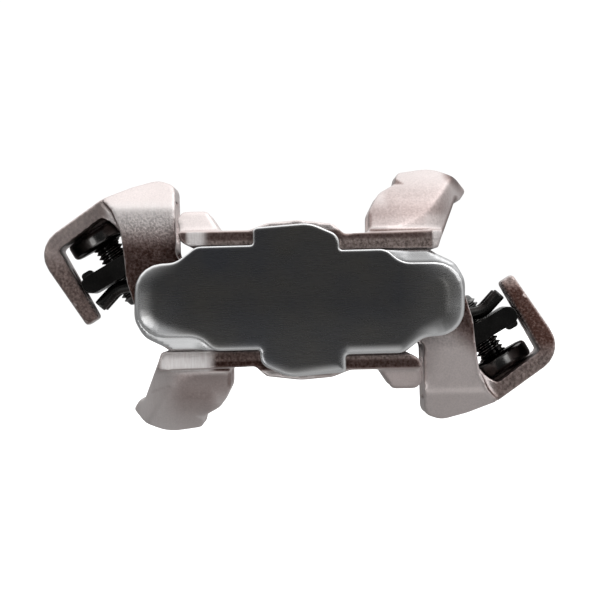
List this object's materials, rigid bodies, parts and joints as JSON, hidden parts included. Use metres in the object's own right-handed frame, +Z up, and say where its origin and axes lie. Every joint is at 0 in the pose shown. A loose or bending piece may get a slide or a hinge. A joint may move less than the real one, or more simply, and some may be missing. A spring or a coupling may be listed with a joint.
{
  "type": "clipless pedal",
  "caption": "Two-sided clipless bicycle pedal: alloy body on a cartridge axle, with a fixed front claw and a sprung, adjustable rear claw on each side.",
  "frame": {"origin": "on the spindle axis, at the flange face that seats on the crank arm", "axes": "+Y along the spindle towards the crank arm; +X towards the front of the upper side; +Z up out of the upper side; the lower side is the upper side turned half a turn about +Y"},
  "size_m": [0.0722, 0.0935, 0.0362],
  "materials": {
    "spindle_steel": "turned and plated chrome-molybdenum steel",
    "bearing_steel": "ground hardened steel",
    "ball_steel": "polished",
    "lock_bolt_resin": "moulded, fine grain",
    "seal_rubber": "matt",
    "body_alloy": "satin grey with bright rounded edges",
    "claw_plating": "grainy satin plating, warm tone",
    "black_steel": "black oxide, oiled",
    "pin_steel": "ground",
    "spring_steel": "oil-tempered wire, dark",
    "adjuster_steel": "black oxide, tumbled"
  },
  "bodies": {
    "axle": {"spindle": "spindle_steel", "outboard_cone": "bearing_steel", "cone_lock_nut": "bearing_steel"},
    "inboard_ball_ring": {"inboard_balls": "ball_steel"},
    "outboard_ball_ring": {"outboard_balls": "ball_steel"},
    "pedal": {"pedal_body": "body_alloy", "bearing_sleeve": "bearing_steel", "axle_lock_bolt": "lock_bolt_resin", "dust_seal": "seal_rubber", "front_claw_top": "claw_plating", "front_claw_bottom": "claw_plating", "claw_screws_top": "black_steel", "claw_screws_bottom": "black_steel", "pivot_pin_top": "pin_steel", "pivot_pin_bottom": "pin_steel", "outboard_spring_top": "spring_steel", "inboard_spring_top": "spring_steel", "outboard_spring_bottom": "spring_steel", "inboard_spring_bottom": "spring_steel"},
    "top_claw": {"rear_claw_top": "claw_plating"},
    "bottom_claw": {"rear_claw_bottom": "claw_plating"},
    "top_screw": {"adjusting_screw_top": "black_steel"},
    "bottom_screw": {"adjusting_screw_bottom": "black_steel"},
    "top_plate": {"adjusting_plate_top": "adjuster_steel"},
    "bottom_plate": {"adjusting_plate_bottom": "adjuster_steel"}
  },
  "joints": [
    {"name": "pedal_spin", "type": "hinge", "parent": "axle", "child": "pedal", "pos_m": [0, -0.055, 0], "axis": [0, 1, 0], "continuous": true},
    {"name": "inboard_balls_roll", "type": "hinge", "parent": "axle", "child": "inboard_ball_ring", "pos_m": [0, -0.031, 0], "axis": [0, 1, 0], "continuous": true},
    {"name": "outboard_balls_roll", "type": "hinge", "parent": "axle", "child": "outboard_ball_ring", "pos_m": [0, -0.068, 0], "axis": [0, 1, 0], "continuous": true},
    {"name": "top_claw_open", "type": "hinge", "parent": "pedal", "child": "top_claw", "pos_m": [-0.0182, -0.055, 0], "axis": [0, -1, 0], "range_deg": [0, 14], "stiffness_Nm_per_rad": 1.2, "springref_deg": -28.65, "deforming": ["outboard_spring_top", "inboard_spring_top"]},
    {"name": "bottom_claw_open", "type": "hinge", "parent": "pedal", "child": "bottom_claw", "pos_m": [0.0182, -0.055, 0], "axis": [0, -1, 0], "range_deg": [0, 14], "stiffness_Nm_per_rad": 1.2, "springref_deg": -28.65, "deforming": ["outboard_spring_bottom", "inboard_spring_bottom"]},
    {"name": "top_screw_turn", "type": "hinge", "parent": "top_claw", "child": "top_screw", "pos_m": [-0.02816, -0.055, 0.00952], "axis": [-0.497, 0, 0.8678], "range_deg": [0, 722]},
    {"name": "bottom_screw_turn", "type": "hinge", "parent": "bottom_claw", "child": "bottom_screw", "pos_m": [0.02816, -0.055, -0.00952], "axis": [0.497, 0, -0.8678], "range_deg": [0, 722]},
    {"name": "top_plate_travel", "type": "slide", "parent": "top_claw", "child": "top_plate", "axis": [-0.497, 0, 0.8678], "range_m": [0, 0.0014]},
    {"name": "bottom_plate_travel", "type": "slide", "parent": "bottom_claw", "child": "bottom_plate", "axis": [0.497, 0, -0.8678], "range_m": [0, 0.0014]}
  ],
  "couplings": [
    {"joint": "inboard_balls_roll", "follows": "pedal_spin", "ratio": 0.6092},
    {"joint": "outboard_balls_roll", "follows": "pedal_spin", "ratio": 0.6092},
    {"joint": "top_screw_turn", "follows": "top_plate_travel", "rad_per_m": 8976},
    {"joint": "bottom_screw_turn", "follows": "bottom_plate_travel", "rad_per_m": 8976}
  ]
}
